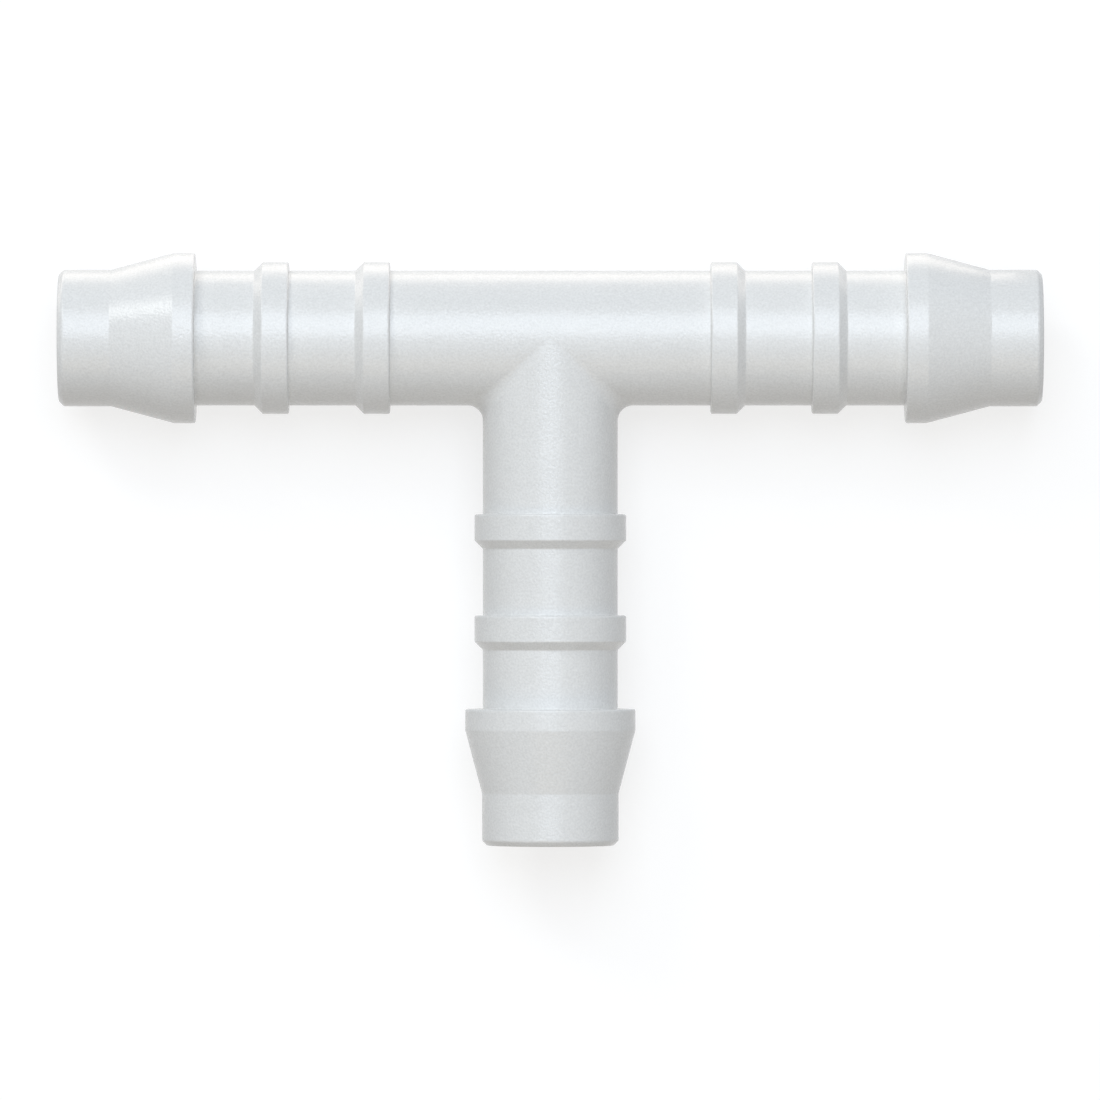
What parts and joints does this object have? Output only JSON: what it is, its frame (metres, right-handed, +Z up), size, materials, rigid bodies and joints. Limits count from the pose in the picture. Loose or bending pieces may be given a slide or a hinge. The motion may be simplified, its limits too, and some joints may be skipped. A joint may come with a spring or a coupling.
{
  "type": "hose barb tee",
  "caption": "Moulded plastic tee that joins soft hoses: a straight run with a side branch, each arm ending in a barb with grip ribs, and open passages that meet inside.",
  "frame": {"origin": "where the axis of the run and the axis of the branch cross, in the middle of the passages", "axes": "+X along the run, -Y along the branch from the run to the branch's end, +Z up from the surface on which the tee lies flat on its crests"},
  "size_m": [0.0582, 0.0351, 0.01],
  "materials": {
    "moulded_plastic": "satin off-white, as moulded"
  },
  "bodies": {
    "root": {"tee_body": "moulded_plastic"}
  },
  "joints": []
}
